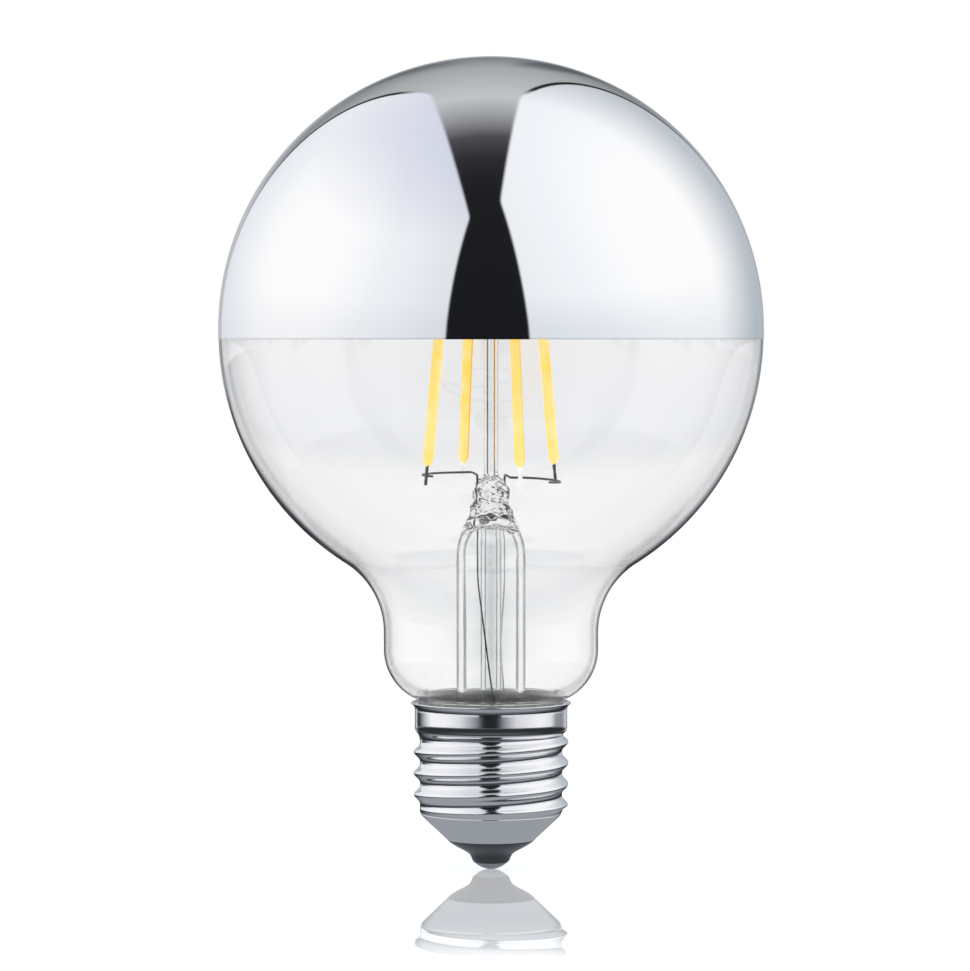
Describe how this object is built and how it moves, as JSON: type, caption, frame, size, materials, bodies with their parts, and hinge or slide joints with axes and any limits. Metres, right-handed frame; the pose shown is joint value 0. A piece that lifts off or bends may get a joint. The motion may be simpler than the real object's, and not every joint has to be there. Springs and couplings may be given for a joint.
{
  "type": "mirrored-crown filament globe lamp",
  "caption": "Large globe lamp with a mirrored upper half, yellow filament sticks on a glass stem and a plated screw cap.",
  "frame": {"origin": "the end of the contact tip, on the lamp's axis", "axes": "+Z along the axis from the tip to the mirrored crown; -Y is the front, so that +X is to the right"},
  "size_m": [0.0926, 0.0926, 0.1379],
  "materials": {
    "clear_glass": "blown soda-lime glass, clear and smooth",
    "mirror_layer": "bright silver mirror layer, lacquered",
    "stem_glass": "drawn and pressed lead-free stem glass",
    "nickel_wire": "dark nickel-plated wire",
    "seal_wire": "copper-sheathed nickel-iron wire",
    "copper_wire": "drawn copper wire",
    "phosphor_coat": "silicone filled with yellow phosphor, satin",
    "strip_ceramic": "white alumina strip",
    "light_chip": "blue gallium nitride chips",
    "tab_metal": "stamped nickel-iron tabs",
    "plated_sheet": "bright nickel-plated rolled sheet",
    "black_glass": "black moulded insulating glass",
    "contact_brass": "stamped brass",
    "solder": "solder, slightly dull",
    "cement": "baked capping cement",
    "board_laminate": "glass-fibre laminate with solder mask",
    "moulded_black": "moulded epoxy",
    "can_aluminium": "drawn can, sleeveless",
    "bung_rubber": "moulded rubber",
    "resistor_paint": "dipped lacquer",
    "ferrite": "sintered ferrite",
    "enamelled_wire": "enamelled copper winding"
  },
  "bodies": {
    "root": {"glass_envelope": "clear_glass", "mirror_crown": "mirror_layer", "stem_flare": "stem_glass", "exhaust_tube": "stem_glass", "support_rod": "stem_glass", "inner_lead_left": "nickel_wire", "inner_lead_right": "nickel_wire", "top_wire_back": "nickel_wire", "top_wire_front": "nickel_wire", "seal_wire_left": "seal_wire", "seal_wire_right": "seal_wire", "outer_lead_left": "copper_wire", "outer_lead_right": "copper_wire", "centre_wire": "copper_wire", "shell_wire": "copper_wire", "filament_coat_1": "phosphor_coat", "filament_coat_2": "phosphor_coat", "filament_coat_3": "phosphor_coat", "filament_coat_4": "phosphor_coat", "filament_strip_1": "strip_ceramic", "filament_strip_2": "strip_ceramic", "filament_strip_3": "strip_ceramic", "filament_strip_4": "strip_ceramic", "filament_chips_1": "light_chip", "filament_chips_2": "light_chip", "filament_chips_3": "light_chip", "filament_chips_4": "light_chip", "lower_tab_1": "tab_metal", "lower_tab_2": "tab_metal", "lower_tab_3": "tab_metal", "lower_tab_4": "tab_metal", "upper_tab_1": "tab_metal", "upper_tab_2": "tab_metal", "upper_tab_3": "tab_metal", "upper_tab_4": "tab_metal", "cap_shell": "plated_sheet", "cap_insulator": "black_glass", "contact_plate": "contact_brass", "solder_tip": "solder", "cap_cement": "cement", "driver_board": "board_laminate", "bridge_rectifier": "moulded_black", "driver_chip": "moulded_black", "capacitor_can": "can_aluminium", "capacitor_bung": "bung_rubber", "fusible_resistor": "resistor_paint", "inductor_core": "ferrite", "inductor_winding": "enamelled_wire"}
  },
  "joints": []
}
